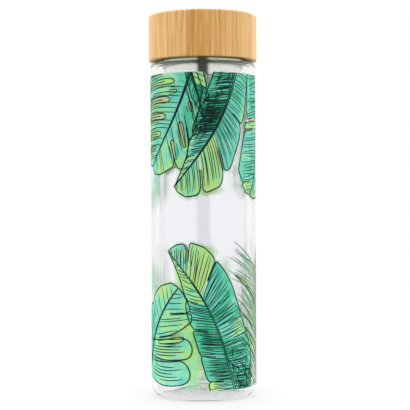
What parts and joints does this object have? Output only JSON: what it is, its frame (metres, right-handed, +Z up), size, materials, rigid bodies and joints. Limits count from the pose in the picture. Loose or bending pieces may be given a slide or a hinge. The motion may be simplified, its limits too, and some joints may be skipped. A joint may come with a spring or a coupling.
{
  "type": "glass tea infuser bottle",
  "caption": "Slim double-walled glass tea bottle with a flat bamboo screw lid, a steel infuser hanging in the neck and a tropical leaf print round the glass.",
  "frame": {"origin": "centre of the base, on the table", "axes": "+Z up along the bottle's axis, -Y towards the viewer of the front of the print"},
  "size_m": [0.067, 0.067, 0.235],
  "materials": {
    "clear_glass": "clear, smooth borosilicate glass",
    "bamboo": "laminated bamboo, fine straight grain, satin oiled",
    "liner_plastic": "natural polypropylene, slightly milky",
    "silicone": "translucent white food silicone",
    "steel": "satin stainless steel",
    "leaf_wash": "screen-printed glass enamel in watercolour greens, a little see-through, satin",
    "leaf_line": "screen-printed glass enamel, near-black green lines, satin"
  },
  "bodies": {
    "bottle": {"outer_glass": "clear_glass", "inner_glass": "clear_glass", "vent_tip": "clear_glass"},
    "infuser": {"infuser_wall": "steel", "infuser_floor": "steel", "infuser_rim": "steel", "infuser_seal": "silicone"},
    "lid_seal": {"lid_gasket": "silicone"},
    "lid": {"lid_shell": "bamboo", "lid_liner": "liner_plastic"}
  },
  "joints": [
    {"name": "lid_turn", "type": "hinge", "parent": "lid_seal", "child": "lid", "pos_m": [0, 0, 0.2], "axis": [0, 0, 1], "range_deg": [0, 7200]},
    {"name": "lid_rise", "type": "slide", "parent": "bottle", "child": "lid_seal", "axis": [0, 0, 1], "range_m": [0, 0.12]},
    {"name": "infuser_lift", "type": "slide", "parent": "bottle", "child": "infuser", "axis": [0, 0, 1], "range_m": [0, 0.072]}
  ],
  "couplings": [
    {"joint": "lid_rise", "follows": "lid_turn", "m_per_rad": 0.00095493},
    {"joint": "infuser_lift", "follows": "lid_turn", "m_per_rad": 0.00057296}
  ]
}
